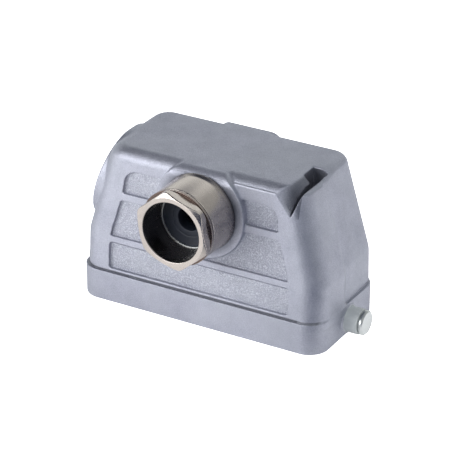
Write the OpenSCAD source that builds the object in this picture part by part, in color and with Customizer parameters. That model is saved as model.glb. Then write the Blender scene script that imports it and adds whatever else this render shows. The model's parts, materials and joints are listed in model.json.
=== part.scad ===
// Heavy duty rectangular connector: side entry hood with cable gland and
// a 16-pole pin insert.
// Millimetres. Origin: centre of the mating opening, on the rim plane.
// +X along the hood, -Y towards the gland, +Z up to the top face.

/* [Hood] */
// Overall length of the rim
hood_length = 94; // [88:1:104]
// Overall width of the rim
hood_width = 43; // [42:0.5:48]
// Height from the rim to the top face
hood_height = 57; // [56:1:66]
// Height of the plain band around the mating opening
band_height = 11.3; // [9:0.1:13]
// Vertical corner radius of the rim
rim_radius = 7.4; // [6:0.1:9]
// Wall thickness of the end walls
wall = 3.4; // [2.8:0.1:3.8]
// Depth of the textured front and back panels
panel_depth = 1.2; // [0.6:0.1:1.4]
// Radius of the round bosses on the front and back
boss_radius = 16.9; // [16:0.1:18]
// Radius of the round boss on the left end
end_boss_radius = 17; // [15:0.5:17.5]

/* [Cable gland] */
// Across flats of the pressure screw
hex_af = 24.8; // [24:0.2:27]
// Length of the hexagon
hex_length = 4; // [3:0.5:7]
// Outside radius of the smooth sleeve
sleeve_radius = 13.3; // [13.2:0.1:14]
// Length of the sleeve in front of the hood
sleeve_length = 13; // [12.4:0.2:16]
// Thread radius between sleeve and pressure screw
thread_radius = 12.5; // [12.2:0.1:12.6]
// Clear bore radius of the pressure screw
screw_bore = 10.6; // [10:0.05:11]
// Hole radius of the rubber seal
cable_radius = 4.1; // [2.5:0.1:6]
// Gap left between the screw's collar and the sleeve
collar_gap = 0.4; // [0.3:0.1:2]

/* [Locking pegs] */
// Radius of the cast stub under each peg
stub_radius = 4.5; // [4:0.1:5.2]
// Length of the stub beyond the rim end
stub_length = 5.2; // [4:0.1:7]
// Height of the peg axis above the rim
peg_z = 5.5; // [5.3:0.1:6]
// Radius of the steel peg head
peg_head_radius = 4.35; // [3.6:0.05:4.8]

/* [Contact insert] */
// Contacts in one row
poles_per_row = 8; // [6:1:8]
// Contact pin radius
pin_radius = 1.25; // [0.8:0.05:1.3]
// Height of the underside of the insert flange above the rim
flange_z = 16.4; // [14:0.2:17]
// Thickness of the insert flange
flange_t = 3.6; // [3:0.1:4]

/* [Hidden] */
$fn = 64;
eps = 0.02;
fit = 0.03;

half_l = hood_length / 2;
half_w = hood_width / 2;
// length against the standard housing, and height above the band
kx = hood_length / 94;
upper = hood_height - band_height;

// front and back faces: step in from the band, then lean inwards
face_y = half_w - 0.5;
lean = atan(3.4 / 45.7);
back_lean = atan(1.5 / 45.7);
function face_at(z, tilt = lean) = face_y - (z - band_height) * tan(tilt);

// end faces: upright to the kink, then lean inwards
end_x = half_l - 1;
pad_t = 1;
kink_rise = 12.9;
kink_z = band_height + kink_rise;
end_slope = 0.275;
function end_at(z) = end_x - max(0, z - kink_z) * end_slope;

// vertical corners and rounded top edge of the body
body_radius = 6.4;
top_radius = 4.2;
back_edge = 2;

// entry boss
boss_x = 0.75;
boss_z = hood_height - 14.6;
boss_y = half_w - 1.7;
boss_top_radius = 4;
back_boss_x = -2.6;
back_boss_y = half_w - 0.1;
back_boss_top = 1.8;
end_boss_z = hood_height - 17;
end_boss_t = 0.8;
end_boss_top = 1;

// cavity: [z, half length, half width, corner radius]
roof = 2.9;
cavity_rows = [
  [-1, half_l - wall, half_w - 3.3, 4.4],
  [kink_z, end_at(kink_z) - wall, half_w - 4.3, 4.2],
  [hood_height - 21, end_at(hood_height - 21) - wall, half_w - 5.5, 4.0],
  [hood_height - 13.4, half_l - 11.2, half_w - 6.1, 4.0],
  [hood_height - 7, half_l - 20.6, half_w - 6.5, 3.5],
  [hood_height - roof - 0.9, half_l - 22, half_w - 7.1, 3.0],
  [hood_height - roof, half_l - 23.4, half_w - 8.4, 2.2]
];

// pocket in the top end corner: slot, sloping wall and square well
pocket_x = half_l - 16;
slot_x = half_l - 13.1;
slot_z = hood_height - 9.1;
slot_right = half_l - 10.4;
pocket_back = 2.5;
well_front = -4.5;
pocket_angle = 131.5;
pad_top = hood_height - 2.1;

// gland stations, measured outward from the boss face
spigot_radius = 11;
spigot_length = 4.4;
flare_radius = spigot_radius + 2.9;
flare_t = 2;
gasket_radius = flare_radius - 0.9;
gasket_t = 0.8;
entry_bore = 9.2;
seal_back = 1.5;
seal_front = 6.7;
chamber_radius = 11.25;
ring_t = 0.7;
ring_bore = 9.7;
screw_end = seal_front + ring_t;
collar_back = sleeve_length + collar_gap;
collar_radius = sleeve_radius + 0.1;
collar_t = 0.9;
hex_back = collar_back + collar_t;
hex_front = hex_back + hex_length;
hex_turn = 40;
hex_corner = hex_af / sqrt(3) - 0.15;

// insert
insert_l = hood_length - 9.5;
insert_w = hood_width - 9;
flange_top = flange_z + flange_t;
core_l = insert_l - 19.7;
core_w = insert_w - 4.4;
fix_x = insert_l / 2 - 3.5;
fix_y = insert_w / 2 - 3.5;
pitch = (core_l - 5) / poles_per_row;
row_y = core_w / 2 - 7;
cage_w = pitch - 1.7;
cage_h = 9;
cage_d = 7.6;
rear_z = flange_top + 13;
guide_t = 1.6;
post_top = flange_top + 13;

// stay pins that hold the rear guide
stay_x = core_l / 2 - 1.5;
stay_y = row_y - 1.8;
stay_radius = 0.8;
stay_depth = 4.6;
stay_head = 0.6;

// contact: tip, collar behind the flange and tail inside the cage
tip_z = 3.4;
tip_radius = 0.6;
tip_length = 1.2;
collar_drop = 4.6;
shoulder_radius = pin_radius + 0.55;
tail_radius = pin_radius + 0.2;
tail_z = flange_top + 2.7;

function arc(cx, cy, r, a0, a1, n) =
  [for (i = [0 : n]) let (a = a0 + (a1 - a0) * i / n)
    [cx + r * cos(a), cy + r * sin(a)]];
function rounded(x0, x1, y0, y1, r, n = 7) =
  concat(arc(x1 - r, y1 - r, r, 0, 90, n), arc(x0 + r, y1 - r, r, 90, 180, n),
         arc(x0 + r, y0 + r, r, 180, 270, n),
         arc(x1 - r, y0 + r, r, 270, 360, n));
function level(f) = band_height + f * upper;

module slab(z, pts) {
  translate([0, 0, z]) linear_extrude(eps) polygon(pts);
}

module plate(l, w, h, r) {
  translate([-l / 2 + r, -w / 2, 0]) cube([l - 2 * r, w, h]);
  translate([-l / 2, -w / 2 + r, 0]) cube([l, w - 2 * r, h]);
  for (sx = [-1, 1], sy = [-1, 1])
    translate([sx * (l / 2 - r), sy * (w / 2 - r), 0]) cylinder(r = r, h = h);
}

// ---------------------------------------------------------------- hood

module body_loft() {
  hull() {
    for (z = [level(-0.1), kink_z])
      slab(z, rounded(-end_at(z), end_at(z), -face_at(z),
        face_at(z, back_lean), body_radius));
    for (a = [0 : 15 : 90]) {
      z = hood_height - eps - top_radius * (1 - sin(a));
      inset = 1 - cos(a);
      x = end_at(z) - top_radius * inset;
      slab(z, rounded(-x, x, top_radius * inset - face_at(z),
        face_at(z, back_lean) - back_edge * inset, body_radius - 0.6));
    }
  }
}

// proud half of one end face
module end_pad(tilt) {
  hull()
    for (z = [level(-0.1), kink_z, pad_top - 1.2, pad_top]) {
      y = face_at(z, tilt) - (z == pad_top ? 0.3 : 0);
      x = end_at(z) + pad_t - (z == pad_top ? 0.35 : 0);
      slab(z, concat([[x - pad_t, -0.8], [12, -0.8], [12, -y]],
        arc(x - 5.6, -y + 5.6, 5.6, 270, 360, 7), [[x, -3.6]]));
    }
}

module band() {
  hull() {
    slab(0, rounded(-half_l + 0.8, half_l - 0.8,
      -half_w + 0.8, half_w - 0.8, rim_radius - 0.8));
    slab(0.25, rounded(-half_l + 0.25, half_l - 0.25,
      -half_w + 0.25, half_w - 0.25, rim_radius - 0.25));
    slab(0.8, rounded(-half_l, half_l, -half_w, half_w, rim_radius));
    slab(band_height - 0.3, rounded(-half_l, half_l, -half_w, half_w,
      rim_radius));
    slab(band_height, rounded(-half_l + 0.3, half_l - 0.3,
      -half_w + 0.3, half_w - 0.3, rim_radius - 0.3));
  }
}

// round entry boss on the front, repeated blank on the back
module face_boss(x, y_end, top_radius) {
  inner_y = half_w - 14;
  intersection() {
    translate([x, -inner_y, boss_z]) rotate([90, 0, 0])
      cylinder(r = boss_radius, h = y_end - inner_y, $fn = 96);
    translate([x - 20, 0, 0]) rotate([90, 0, 90])
      linear_extrude(40)
        polygon(concat([[-inner_y + 0.5, 10], [-y_end, 10]],
          arc(-y_end + top_radius, hood_height - top_radius,
            top_radius, 180, 90, 8),
          [[-inner_y + 0.5, hood_height]]));
  }
}

// round boss on the left end, its face parallel to the leaning end wall
module end_boss() {
  low = end_boss_z - end_boss_radius - 2;
  bend = kink_z + (end_boss_t - 0.5) / end_slope;
  top = hood_height - end_boss_top;
  intersection() {
    translate([-half_l - 2, 0, end_boss_z]) rotate([0, 90, 0])
      cylinder(r = end_boss_radius, h = 18, $fn = 96);
    translate([0, 20, 0]) rotate([90, 0, 0])
      linear_extrude(40)
        polygon(concat(
          [[-half_l + 17, low], [-end_x - 0.5, low], [-end_x - 0.5, bend]],
          arc(-end_at(top) - end_boss_t + end_boss_top, top,
            end_boss_top - eps, 180, 90, 6),
          [[-half_l + 17, hood_height - eps]]));
  }
}

// shallow textured panels cut square to the leaning face
function panel_low() = rounded(-34.8 * kx, 34.8 * kx, 0.035 * upper,
  0.243 * upper, 0.8, 3);
function panel_mid() =
  [[-34.6 * kx, 0.296 * upper], [34.6 * kx, 0.296 * upper],
   [30.6 * kx, 0.6 * upper], [-30.6 * kx, 0.6 * upper]];
function panel_top() = concat(
  [[-30 * kx, 0.66 * upper], [30 * kx, 0.66 * upper]],
  arc(28.7 * kx - 4, 0.846 * upper - 4, 4, 0, 90, 6),
  arc(-28.7 * kx + 4, 0.846 * upper - 4, 4, 90, 180, 6));

module face_panels(tilt) {
  translate([0, -face_y, band_height]) rotate([90 - tilt, 0, 0])
    translate([0, 0, -panel_depth])
      linear_extrude(panel_depth + 2) {
        polygon(panel_low());
        polygon(panel_mid());
        polygon(panel_top());
      }
}

// pocket between the top face and the proud end wall
module corner_pocket() {
  // narrow slot, open through the front face
  translate([0, pocket_back, 0]) rotate([90, 0, 0])
    linear_extrude(half_w + pocket_back + 2)
      polygon([[slot_x, hood_height + 1], [slot_x, slot_z + 0.3],
        [slot_x + 0.35, slot_z], [slot_x + 1.2, slot_z + 2.2],
        [slot_right, pad_top - 0.2], [slot_right, hood_height + 1]]);
  // square well at the inner end
  translate([pocket_x, well_front, slot_z - 0.4])
    cube([slot_right - pocket_x, pocket_back - well_front, 12]);
  // sloping wall, its front end rounded into the front face
  intersection() {
    translate([pocket_x, 0, hood_height]) rotate([0, pocket_angle, 0])
      translate([0, 0, -20]) linear_extrude(40)
        polygon(concat([[-8, well_front + eps], [0, well_front + eps]],
          arc(4.2, -half_w + 7.5, 4.2, 180, 270, 8),
          [[30, -half_w + 3.3], [30, -half_w - 2], [-8, -half_w - 2]]));
    translate([pocket_x - 14, -half_w - 1, slot_z])
      cube([slot_x - pocket_x + 14 + eps, half_w + 1, 12]);
  }
}

// four posts that carry the insert
module posts() {
  for (sx = [-1, 1], sy = [-1, 1]) {
    translate([sx * fix_x, sy * fix_y, flange_top])
      cylinder(r = 4.0, h = post_top - flange_top);
    // web to the long wall
    translate([sx * fix_x - 1.5, sy > 0 ? fix_y : -fix_y - 5.2, flange_top])
      cube([3, 5.2, post_top - flange_top - 2]);
  }
}

module stubs() {
  for (s = [-1, 1])
    translate([s * (half_l - 2.5), 0, peg_z]) rotate([0, s * 90, 0]) {
      cylinder(r = stub_radius, h = 2.5 + stub_length - 0.4);
      cylinder(r = stub_radius - 0.4, h = 2.5 + stub_length);
      cylinder(r = stub_radius + 0.7, h = 2.9);
    }
}

module hood_shell() {
  color("#8e939c")
  difference() {
    union() {
      difference() {
        union() {
          difference() {
            union() {
              body_loft();
              end_pad(lean);
              rotate([0, 0, 180]) end_pad(back_lean);
            }
            face_panels(lean);
            mirror([0, 1, 0]) face_panels(back_lean);
          }
          band();
          face_boss(boss_x, boss_y, boss_top_radius);
          mirror([0, 1, 0]) face_boss(back_boss_x, back_boss_y, back_boss_top);
          end_boss();
          stubs();
        }
        hull()
          for (q = cavity_rows)
            slab(q[0], rounded(-q[1], q[1], -q[2], q[2], q[3]));
        corner_pocket();
      }
      posts();
    }
    // threaded entry for the gland
    translate([boss_x, -half_w + 8, boss_z]) rotate([90, 0, 0])
      cylinder(r = spigot_radius + fit, h = half_w);
    // lead-in of the thread
    translate([boss_x, -boss_y + 0.5, boss_z]) rotate([90, 0, 0])
      cylinder(r1 = spigot_radius + fit, r2 = spigot_radius + 0.25, h = 0.6);
    // peg seats
    for (s = [-1, 1])
      translate([s * (half_l - 2.6), 0, peg_z]) rotate([0, s * 90, 0])
        cylinder(r = 2.4 + fit, h = 20);
    // insert fixing threads
    for (sx = [-1, 1], sy = [-1, 1])
      translate([sx * fix_x, sy * fix_y, flange_top - 1])
        cylinder(r = 2 + fit, h = 12);
  }
}

module locking_peg() {
  translate([half_l, 0, peg_z]) rotate([0, 90, 0]) rotate_extrude()
    polygon([[0, -2.4], [2.1, -2.4], [2.4, -2.1], [2.4, stub_length],
      [3.3, stub_length], [3.3, stub_length + 0.7],
      [peg_head_radius, stub_length + 0.7],
      [peg_head_radius, stub_length + 1.3],
      [peg_head_radius - 0.5, stub_length + 1.8], [0, stub_length + 1.8]]);
}

module locking_peg_right() {
  color("#c9cdcc") locking_peg();
}

module locking_peg_left() {
  color("#c9cdcc") mirror([1, 0, 0]) locking_peg();
}

// --------------------------------------------------------------- gland

module on_gland() {
  translate([boss_x, -boss_y, boss_z]) rotate([90, 0, 0]) children();
}

module gland_sleeve() {
  color("#b9b2ad") on_gland() rotate_extrude($fn = 96)
    polygon([
      [entry_bore, -spigot_length], [spigot_radius - 0.4, -spigot_length],
      [spigot_radius, -spigot_length + 0.4], [spigot_radius, gasket_t],
      [gasket_radius + 0.05, gasket_t], [gasket_radius + 0.05, 0],
      [flare_radius - 0.2, 0], [flare_radius, 0.2],
      [flare_radius, flare_t - 0.6], [flare_radius - 0.3, flare_t - 0.2],
      [sleeve_radius + 0.1, flare_t], [sleeve_radius, flare_t + 0.3], [sleeve_radius, sleeve_length - 0.4],
      [sleeve_radius - 0.35, sleeve_length],
      [thread_radius + 0.2, sleeve_length],
      [thread_radius, sleeve_length - 0.25], [thread_radius, 6.4],
      [chamber_radius, 6.4], [chamber_radius, 3.6], [9.75, 1.45],
      [entry_bore, 1.3]
    ]);
}

module gland_gasket() {
  color("#26292b") on_gland() rotate_extrude($fn = 96)
    polygon([[spigot_radius + 0.1, 0.01], [gasket_radius, 0.01],
      [gasket_radius, gasket_t - 0.01],
      [spigot_radius + 0.1, gasket_t - 0.01]]);
}

// hexagon with both ends turned back, on a round collar
module gland_pressure_screw() {
  color("#c9c1bc") on_gland() difference() {
    union() {
      intersection() {
        translate([0, 0, hex_back - 0.5]) rotate([0, 0, hex_turn])
          cylinder(r = hex_af / sqrt(3), h = hex_length + 0.5, $fn = 6);
        rotate_extrude($fn = 96)
          polygon([[0, hex_back - 0.5], [collar_radius - 0.4, hex_back - 0.5],
            [hex_corner, hex_back + 0.3], [hex_corner, hex_front - 1.1],
            [hex_af / 2 - 0.1, hex_front], [0, hex_front]]);
      }
      rotate_extrude($fn = 96)
        polygon([[0, collar_back], [collar_radius - 0.2, collar_back],
          [collar_radius, collar_back + 0.2],
          [collar_radius, collar_back + collar_t - 0.2],
          [hex_af / 2 - 0.2, hex_back + 0.9], [0, hex_back + 0.9]]);
      translate([0, 0, screw_end])
        cylinder(r = thread_radius - 0.06, h = collar_back - screw_end + 0.5,
          $fn = 96);
    }
    // bore, slightly tapered towards the ring
    rotate_extrude($fn = 96)
      polygon([[0, screw_end - 1], [ring_bore + 0.25, screw_end - 1],
        [ring_bore + 0.25, screw_end + 0.5], [screw_bore, hex_front - 0.5],
        [screw_bore + 0.5, hex_front + eps], [0, hex_front + eps]]);
  }
}

module gland_thrust_ring() {
  color("#d8d8d6") on_gland() rotate_extrude($fn = 96)
    polygon([[ring_bore, seal_front + 0.15], [ring_bore + 0.15, seal_front],
      [chamber_radius - 0.06, seal_front],
      [chamber_radius - 0.06, screw_end], [ring_bore + 0.15, screw_end],
      [ring_bore, screw_end - 0.15]]);
}

module gland_seal() {
  color("#1f232b") on_gland() rotate_extrude($fn = 96)
    polygon([[cable_radius, seal_back], [9.65, seal_back],
      [chamber_radius - 0.05, 3.75], [chamber_radius - 0.05, seal_front],
      [cable_radius + 2.3, seal_front], [cable_radius + 2.2, seal_front - 0.5],
      [cable_radius + 1.9, seal_front - 0.5],
      [cable_radius + 1.8, seal_front], [cable_radius + 0.3, seal_front],
      [cable_radius, seal_front - 0.3]]);
}

// -------------------------------------------------------------- insert

module each_contact() {
  for (i = [0 : poles_per_row - 1], s = [-1, 1])
    translate([(i - (poles_per_row - 1) / 2) * pitch, 0, 0])
      mirror([0, s > 0 ? 0 : 1, 0]) translate([0, row_y, 0]) children();
}

module insert_body() {
  color("#b7b5ac") difference() {
    union() {
      translate([0, 0, flange_z]) plate(insert_l, insert_w, flange_t, 3);
      // shroud around the pins and floor that carries them
      translate([0, 0, 1.6])
        plate(core_l, core_w, flange_top - 1.6, 2.5);
      // terminal block
      translate([0, 0, flange_z]) plate(core_l, core_w - 1, rear_z - flange_z, 2);
    }
    // pin chamber
    difference() {
      plate(core_l - 3, core_w - 3, flange_z - 4, 1.6);
      for (i = [0 : poles_per_row])
        translate([(i - poles_per_row / 2) * pitch - 0.5, -core_w, 9])
          cube([1, 2 * core_w, 5]);
      translate([-core_l / 2, -1, 7]) cube([core_l, 2, 7]);
    }
    // contact bores and cage pockets
    each_contact() {
      translate([0, 0, flange_z - 5]) cylinder(r = 1.8 + fit, h = 14, $fn = 32);
      translate([-cage_w / 2 - 0.1, -cage_d / 2 - 0.1, flange_top + 1])
        cube([cage_w + 0.2, cage_d + 0.2, 20]);
      // screwdriver opening in the side wall
      translate([-2.6, 0, flange_top + 3.2]) cube([5.2, core_w, 6.4]);
    }
    // relief along the middle
    translate([-core_l / 2 + 3, -1.6, flange_top + 4])
      cube([core_l - 6, 3.2, 20]);
    // fixing holes
    for (sx = [-1, 1], sy = [-1, 1])
      translate([sx * fix_x, sy * fix_y, flange_z - 1])
        cylinder(r = 2.25, h = flange_t + 2);
    // earth blade slots and pin holes
    for (sx = [-1, 1]) {
      translate([sx * (core_l / 2 + 2.2) - 0.75, -3.6, flange_z - 1])
        cube([1.5, 7.2, flange_t + 2]);
      for (sy = [-1, 1])
        translate([sx * stay_x, sy * stay_y, rear_z - stay_depth - 0.4])
          cylinder(r = stay_radius + fit, h = stay_depth + 1.4, $fn = 32);
    }
  }
}

// plate over the terminals with wire funnels
module insert_rear_guide() {
  color("#a9a79e") difference() {
    translate([0, 0, rear_z]) plate(core_l, core_w - 1, guide_t, 2);
    each_contact() {
      translate([0, 0, rear_z - 1]) cylinder(r = 1.9, h = guide_t + 2, $fn = 32);
      translate([0, 0, rear_z + 0.5])
        cylinder(r1 = 1.9, r2 = 2.8, h = guide_t - 0.49, $fn = 32);
    }
    for (sx = [-1, 1], sy = [-1, 1])
      translate([sx * stay_x, sy * stay_y, rear_z - 1])
        cylinder(r = stay_radius + fit, h = guide_t + 2, $fn = 32);
  }
}

module insert_stay_pins() {
  color("#cfcfca")
  for (sx = [-1, 1], sy = [-1, 1])
    translate([sx * stay_x, sy * stay_y, rear_z - stay_depth]) {
      cylinder(r = stay_radius, h = stay_depth + guide_t, $fn = 32);
      translate([0, 0, stay_depth + guide_t])
        cylinder(r1 = stay_radius + 0.6, r2 = stay_radius + 0.3,
          h = stay_head, $fn = 32);
    }
}

module contact_pins() {
  color("#d6d2c4") each_contact() rotate_extrude($fn = 32)
    polygon([[0, tip_z], [tip_radius, tip_z],
      [pin_radius, tip_z + tip_length],
      [pin_radius, flange_z - collar_drop],
      [shoulder_radius, flange_z - collar_drop + 0.2],
      [shoulder_radius, flange_top + 1], [tail_radius, flange_top + 1],
      [tail_radius, tail_z], [0, tail_z]]);
}

module terminal_cages() {
  color("#b08d57") each_contact()
    translate([0, 0, flange_top + 1]) difference() {
      translate([-cage_w / 2, -cage_d / 2, 0]) cube([cage_w, cage_d, cage_h]);
      // wire hole from the rear, plugged below by the contact
      translate([0, -0.6, 2.6]) cylinder(r = 1.75, h = cage_h, $fn = 32);
      translate([0, 0, -1]) cylinder(r = 1.45 + fit, h = 3.0, $fn = 32);
      // pressure plate slot
      translate([-1.9, 0.6, 2.6]) cube([3.8, 1.5, cage_h]);
      // clamp screw thread
      translate([0, 1.6, 5.4]) rotate([-90, 0, 0])
        cylinder(r = 1.5 + fit, h = 8, $fn = 32);
    }
}

module wire_plates() {
  color("#c2bfb6") each_contact()
    translate([-1.8, 1.0, flange_top + 3.7]) cube([3.6, 0.7, cage_h - 3.2]);
}

// slotted clamp screws, heads towards the long walls
module terminal_screws() {
  color("#d9d7d0") each_contact()
    translate([0, 1.72, flange_top + 6.4]) rotate([-90, 0, 0])
      difference() {
        union() {
          cylinder(r = 1.5, h = 4.4, $fn = 32);
          translate([0, 0, 2.3]) cylinder(r = 2.3, h = 1.9, $fn = 32);
        }
        translate([-3, -0.35, 3.4]) cube([6, 0.7, 2]);
      }
}

// earth plate: bridge over the flange end with a downward blade
module earth_plate() {
  x0 = core_l / 2 + 0.6;
  difference() {
    union() {
      translate([x0, -fix_y + 4.2, flange_top])
        cube([insert_l / 2 - x0 - 0.6, 2 * fix_y - 8.4, 1.2]);
      translate([core_l / 2 + 1.5, -3.5, 5]) cube([1.4, 7, flange_top - 5 + 1]);
      // lug for the clamp screw
      translate([x0 + 0.2, -4, flange_top + 1.2])
        cube([insert_l / 2 - x0 - 1.6, 8, 3.2]);
    }
    translate([core_l / 2 + 5.2, 0, flange_top - 1])
      cylinder(r = 1.75 + fit, h = 8, $fn = 32);
    translate([core_l / 2, -5, 4]) rotate([0, 40, 0]) cube([1.6, 10, 1.6]);
  }
}

module earth_plate_right() {
  color("#cfc8b8") earth_plate();
}

module earth_plate_left() {
  color("#cfc8b8") mirror([1, 0, 0]) earth_plate();
}

module earth_clamp_saddles() {
  color("#b9b9b4")
  for (s = [0, 1]) mirror([s, 0, 0])
    translate([core_l / 2 + 5.2, 0, flange_top + 4.4]) difference() {
      union() {
        translate([-3.6, -4.4, 0]) cube([7, 8.8, 1.1]);
        translate([-3.6, -4.4, -1.6]) cube([7, 0.38, 1.7]);
        translate([-3.6, 4.02, -1.6]) cube([7, 0.38, 1.7]);
      }
      translate([0, 0, -1]) cylinder(r = 1.9, h = 4, $fn = 32);
    }
}

module earth_clamp_screws() {
  color("#9fa59a")
  for (s = [0, 1]) mirror([s, 0, 0])
    translate([core_l / 2 + 5.2, 0, 0]) difference() {
      union() {
        translate([0, 0, flange_top + 0.2])
          cylinder(r = 1.75, h = 5.4, $fn = 32);
        translate([0, 0, flange_top + 5.5]) cylinder(r = 3.1, h = 2.1, $fn = 48);
      }
      translate([-3.5, -0.4, flange_top + 6.6]) cube([7, 0.8, 2]);
      translate([-0.4, -3.5, flange_top + 6.6]) cube([0.8, 7, 2]);
    }
}

module fixing_screws() {
  color("#c9ccd0")
  for (sx = [-1, 1], sy = [-1, 1])
    translate([sx * fix_x, sy * fix_y, 0]) difference() {
      union() {
        translate([0, 0, flange_z - 0.8])
          cylinder(r = 2, h = flange_t + 9.6, $fn = 40);
        translate([0, 0, flange_z - 3.2])
          cylinder(r1 = 2.9, r2 = 3.3, h = 0.5, $fn = 48);
        translate([0, 0, flange_z - 2.7]) cylinder(r = 3.3, h = 1.9, $fn = 48);
      }
      translate([-4, -0.4, flange_z - 4]) cube([8, 0.8, 1.9]);
    }
}

module fixing_washers() {
  color("#aeb2b8")
  for (sx = [-1, 1], sy = [-1, 1])
    translate([sx * fix_x, sy * fix_y, flange_z - 0.8]) difference() {
      cylinder(r = 3.45, h = 0.8, $fn = 48);
      translate([0, 0, -1]) cylinder(r = 2.08, h = 3, $fn = 40);
    }
}

hood_shell();
locking_peg_right();
locking_peg_left();
gland_sleeve();
gland_gasket();
gland_pressure_screw();
gland_thrust_ring();
gland_seal();
insert_body();
insert_rear_guide();
contact_pins();
terminal_cages();
terminal_screws();
wire_plates();
earth_plate_right();
earth_plate_left();
earth_clamp_saddles();
earth_clamp_screws();
fixing_screws();
fixing_washers();
insert_stay_pins();
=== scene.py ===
"""Looks of the rectangular connector hood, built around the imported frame. Metres."""

import json
import math

import bpy
import numpy as np
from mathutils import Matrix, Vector


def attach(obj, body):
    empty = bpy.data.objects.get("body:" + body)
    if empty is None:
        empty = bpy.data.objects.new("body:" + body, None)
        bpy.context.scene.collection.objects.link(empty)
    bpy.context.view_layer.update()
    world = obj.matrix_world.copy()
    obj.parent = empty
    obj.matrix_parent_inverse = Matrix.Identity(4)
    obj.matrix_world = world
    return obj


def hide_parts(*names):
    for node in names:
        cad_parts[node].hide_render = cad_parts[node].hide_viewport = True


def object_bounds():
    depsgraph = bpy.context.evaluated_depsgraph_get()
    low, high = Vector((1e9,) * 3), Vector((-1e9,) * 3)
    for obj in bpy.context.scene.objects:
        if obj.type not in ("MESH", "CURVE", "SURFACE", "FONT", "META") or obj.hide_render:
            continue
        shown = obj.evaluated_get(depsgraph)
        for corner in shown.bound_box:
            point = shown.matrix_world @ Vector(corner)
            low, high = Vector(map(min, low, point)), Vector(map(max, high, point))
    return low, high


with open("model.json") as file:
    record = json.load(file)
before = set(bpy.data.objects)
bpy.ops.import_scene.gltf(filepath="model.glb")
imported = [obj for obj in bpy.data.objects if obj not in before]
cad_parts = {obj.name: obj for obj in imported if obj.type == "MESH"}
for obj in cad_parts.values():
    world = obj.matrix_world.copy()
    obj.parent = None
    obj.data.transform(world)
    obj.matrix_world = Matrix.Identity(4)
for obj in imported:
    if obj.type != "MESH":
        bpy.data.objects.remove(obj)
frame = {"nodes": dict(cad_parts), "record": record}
CAD_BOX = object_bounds()
MM = 0.001

# ---------------------------------------------------------- hood sizes (mm)
# x runs along the hood and y across it, both from its middle; the cable entry is in front,
# at -y, and z is the height above the rim
HALF_L, HALF_W, TOP = 47.0, 21.5, 57.0
BAND, RIM_R = 11.3, 7.4
UPPER = TOP - BAND
# body: its long faces lean in by this much from the band to the top, its ends above a kink
FACE_Y, FACE_IN, BACK_IN = HALF_W - 0.5, 3.4, 1.5
LEAN, BACK_LEAN = math.atan(FACE_IN / UPPER), math.atan(BACK_IN / UPPER)
END_X, KINK, KINK_SOFT, END_SLOPE = 46.0, 24.2, 0.6, 0.275
FRONT_CORNER_R, BACK_CORNER_R = 7.6, 6.0
BODY_FOOT, TOP_EDGE_R = 9, 4.2
# the top edge gets sharper by this much towards the back
SHARP_BY, SHARP_Y, SHARP_RUN = 1.8, -4, 12
# pads: half of each end face stands proud, with an edge that is steeper high up
PAD_T, PAD_TOP, PAD_X, PAD_Y, PAD_RUN = 1.0, TOP - 2.1, 12, 0.8, 2.8
STEEP_Z, STEEP_RUN, STEEP_SHIFT, STEEP_LESS = 38, 12, 2.6, 2.3
# parting line on the end faces, and groove above the band on the long faces
SEAM_H, SEAM_X, SEAM_Y, SEAM_W, SEAM_TOP, SEAM_RUN = 0.16, 36, 0.35, 0.22, 44, 16
GROOVE_DEPTH, GROOVE_Z, GROOVE_W, GROOVE_Y, GROOVE_RUN = 0.3, 0.1, 0.4, 12, 4
# recessed panels: foot and top along the face, half length at the foot, narrowing; they all
# end below PANELS_END
LOW_PANEL, LOW_HALF = (0.035 * UPPER, 0.243 * UPPER), 34.8
MID_PANEL, MID_HALF, MID_TAPER = (0.296 * UPPER, 0.6 * UPPER), 34.6, 4
TOP_PANEL, TOP_HALF, TOP_TAPER = (0.66 * UPPER, 0.846 * UPPER), 30, 1.3
PANEL_DEPTH, LOW_PANEL_R, PANEL_R, TOP_PANEL_R, PANELS_END = 1.2, 1.0, 0.9, 4, 50.5
# entry boss, its blank twin on the back, and the boss on the left end
BOSS_X, BOSS_Z, BOSS_Y, BOSS_R = 0.75, 42.4, 19.8, 16.9
BLANK_X, BLANK_Y, BOSS_ROOT = -2.6, 21.4, 7.5
BOSS_TOP_R, BLANK_TOP_R, BOSS_EDGE_R = 4.0, 1.8, 0.35
END_BOSS_Z, END_BOSS_R, END_BOSS_T, END_BOSS_ROOT = 40.0, 17.0, 0.8, -30
# stubs for the locking pegs, and the bores of gland, pegs and insert screws
PEG_Z, STUB_R, STUB_ROOT, STUB_END, STUB_COLLAR = 5.5, 4.5, 44.5, 52.2, 0.7
ENTRY_R, ENTRY_END, PEG_HOLE_R, PEG_HOLE_X = 11.03, -13, 2.43, 44.6
FIX_HOLE_R, FIX_HOLE_Z, FIX_HOLE_HALF = 2.03, 25, 6
# posts that carry the insert, each with a web to the wall
FLANGE_TOP, POST_TOP, POST_R, FIX_X, FIX_Y = 20.0, 33.0, 4, 38.75, 13.5
WEB_HALF_T, WEB_HALF_L = 1.5, 2.6
# pocket in the top front right corner: narrow slot, square well, sloping wall
SLOT_X, SLOT_Z, SLOT_RIGHT, POCKET_X = 33.9, 47.9, 36.6, 31.4
POCKET_BACK, WELL_FRONT = 2.5, -4.5
SLOT_WIDENS = [SLOT_Z, 50.1, PAD_TOP - 0.2], [0.35, 1.2, 2.7]
# the sloping wall: its top edge runs left in front of WALL_OUT_Y, its foot sinks in front of
# WALL_SINK_Y, and both go on a little past their run
WALL_OUT, WALL_OUT_Y, WALL_OUT_RUN = 7.4, -13, 5.5
WALL_Z, WALL_SINK, WALL_SINK_Y, WALL_SINK_RUN, RUN_PAST = 54.4, 7, -5, 13.8, 1.1
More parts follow.
